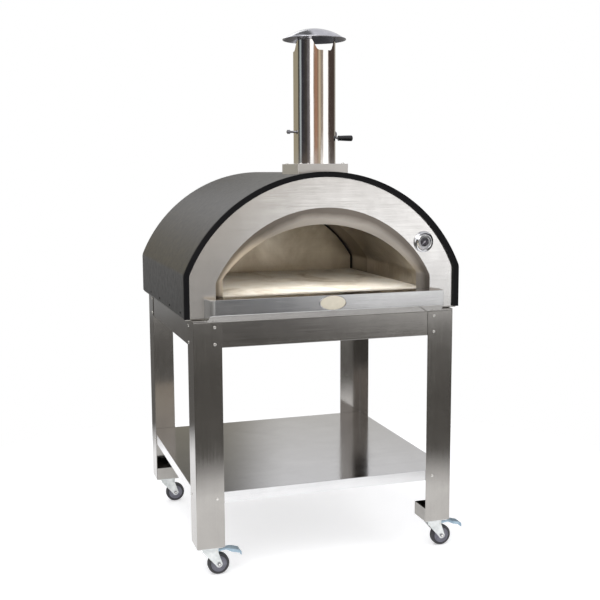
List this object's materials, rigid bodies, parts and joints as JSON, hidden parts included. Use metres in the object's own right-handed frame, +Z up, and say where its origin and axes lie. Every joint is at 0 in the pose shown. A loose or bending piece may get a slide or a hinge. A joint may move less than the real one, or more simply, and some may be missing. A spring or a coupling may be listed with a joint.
{
  "type": "wood fired pizza oven",
  "caption": "Wood fired pizza oven with a dark arched hood, stainless mouth, capped flue with damper and thermometer, on a stainless stand with a lower shelf and braked casters.",
  "frame": {"origin": "centre of the overall box in X and Y, on the floor under the caster wheels", "axes": "+Z up, the mouth faces -Y, +X to the right of a person standing in front of the mouth"},
  "size_m": [1.0636, 0.96, 1.9185],
  "materials": {
    "steel_brushed": "brushed stainless steel sheet",
    "steel_polished": "bright polished stainless steel",
    "steel_chamber": "stainless steel sheet, warm from the hearth's light",
    "hood_coating": "charcoal textured powder coat on steel sheet",
    "firebrick": "smooth cream firebrick",
    "ceramic_fibre": "white ceramic fibre",
    "zinc_plate": "bright zinc plated steel",
    "zinc_blue": "blue zinc plated steel",
    "wheel_rubber": "matt grey rubber",
    "grip_plastic": "glossy black moulded plastic",
    "badge_enamel": "cream enamel",
    "dial_enamel": "white enamel",
    "needle_paint": "pale paint",
    "dial_glass": "clear flat glass"
  },
  "bodies": {
    "oven": {"leg_front_left": "steel_brushed", "leg_front_right": "steel_brushed", "leg_rear_left": "steel_brushed", "leg_rear_right": "steel_brushed", "foot_box_front_left": "steel_brushed", "foot_box_front_right": "steel_brushed", "foot_box_rear_left": "steel_brushed", "foot_box_rear_right": "steel_brushed", "beam_front": "steel_brushed", "beam_rear": "steel_brushed", "beam_left": "steel_brushed", "beam_right": "steel_brushed", "table_top": "steel_brushed", "lower_shelf": "steel_polished", "caster_plate_front_left": "zinc_plate", "caster_plate_front_right": "zinc_plate", "caster_plate_rear_left": "zinc_plate", "caster_plate_rear_right": "zinc_plate", "hood_shell": "hood_coating", "rear_panel": "hood_coating", "front_fascia": "steel_brushed", "mouth_throat": "steel_brushed", "mouth_ledge": "steel_brushed", "oval_badge": "badge_enamel", "inner_dome": "steel_chamber", "inner_back_wall": "steel_chamber", "insulation_blanket": "ceramic_fibre", "base_tray": "steel_brushed", "floor_insulation": "ceramic_fibre", "hearth_tile_front_left": "firebrick", "hearth_tile_front_right": "firebrick", "hearth_tile_rear_left": "firebrick", "hearth_tile_rear_right": "firebrick", "flue_collar": "steel_polished", "flue_base": "steel_brushed", "flue_pipe": "steel_polished", "flue_cap": "steel_polished", "thermometer_case": "steel_polished", "thermometer_dial": "dial_enamel", "thermometer_lens": "dial_glass", "thermometer_nut": "zinc_plate"},
    "caster_front_left": {"caster_fork_front_left": "zinc_plate", "caster_axle_front_left": "zinc_plate"},
    "wheel_front_left": {"caster_wheel_front_left": "wheel_rubber"},
    "pedal_front_left": {"brake_pedal_front_left": "zinc_blue"},
    "caster_front_right": {"caster_fork_front_right": "zinc_plate", "caster_axle_front_right": "zinc_plate"},
    "wheel_front_right": {"caster_wheel_front_right": "wheel_rubber"},
    "pedal_front_right": {"brake_pedal_front_right": "zinc_blue"},
    "caster_rear_left": {"caster_fork_rear_left": "zinc_plate", "caster_axle_rear_left": "zinc_plate"},
    "wheel_rear_left": {"caster_wheel_rear_left": "wheel_rubber"},
    "caster_rear_right": {"caster_fork_rear_right": "zinc_plate", "caster_axle_rear_right": "zinc_plate"},
    "wheel_rear_right": {"caster_wheel_rear_right": "wheel_rubber"},
    "damper": {"damper_plate": "steel_brushed", "damper_axle": "zinc_plate", "damper_nut": "zinc_plate", "damper_grip": "grip_plastic"},
    "needle": {"thermometer_needle": "needle_paint"}
  },
  "joints": [
    {"name": "swivel_front_left", "type": "hinge", "parent": "oven", "child": "caster_front_left", "pos_m": [-0.455, -0.3955, 0.0997], "axis": [0, 0, 1], "continuous": true},
    {"name": "wheel_spin_front_left", "type": "hinge", "parent": "caster_front_left", "child": "wheel_front_left", "pos_m": [-0.42, -0.3955, 0.039], "axis": [0, 1, 0], "continuous": true},
    {"name": "brake_pedal_front_left", "type": "hinge", "parent": "caster_front_left", "child": "pedal_front_left", "pos_m": [-0.428, -0.3955, 0.088], "axis": [0, -1, 0], "range_deg": [0, 12]},
    {"name": "swivel_front_right", "type": "hinge", "parent": "oven", "child": "caster_front_right", "pos_m": [0.415, -0.3955, 0.0997], "axis": [0, 0, 1], "continuous": true},
    {"name": "wheel_spin_front_right", "type": "hinge", "parent": "caster_front_right", "child": "wheel_front_right", "pos_m": [0.45, -0.3955, 0.039], "axis": [0, 1, 0], "continuous": true},
    {"name": "brake_pedal_front_right", "type": "hinge", "parent": "caster_front_right", "child": "pedal_front_right", "pos_m": [0.442, -0.3955, 0.088], "axis": [0, -1, 0], "range_deg": [0, 12]},
    {"name": "swivel_rear_left", "type": "hinge", "parent": "oven", "child": "caster_rear_left", "pos_m": [-0.455, 0.4285, 0.0997], "axis": [0, 0, 1], "continuous": true},
    {"name": "wheel_spin_rear_left", "type": "hinge", "parent": "caster_rear_left", "child": "wheel_rear_left", "pos_m": [-0.42, 0.4285, 0.039], "axis": [0, 1, 0], "continuous": true},
    {"name": "swivel_rear_right", "type": "hinge", "parent": "oven", "child": "caster_rear_right", "pos_m": [0.415, 0.4285, 0.0997], "axis": [0, 0, 1], "continuous": true},
    {"name": "wheel_spin_rear_right", "type": "hinge", "parent": "caster_rear_right", "child": "wheel_rear_right", "pos_m": [0.45, 0.4285, 0.039], "axis": [0, 1, 0], "continuous": true},
    {"name": "damper_turn", "type": "hinge", "parent": "oven", "child": "damper", "pos_m": [-0.02, -0.296, 1.559], "axis": [1, 0, 0], "range_deg": [0, 90]},
    {"name": "thermometer_needle_turn", "type": "hinge", "parent": "oven", "child": "needle", "pos_m": [0.353, -0.4338, 1.165], "axis": [0, 1, 0], "range_deg": [0, 270]}
  ]
}
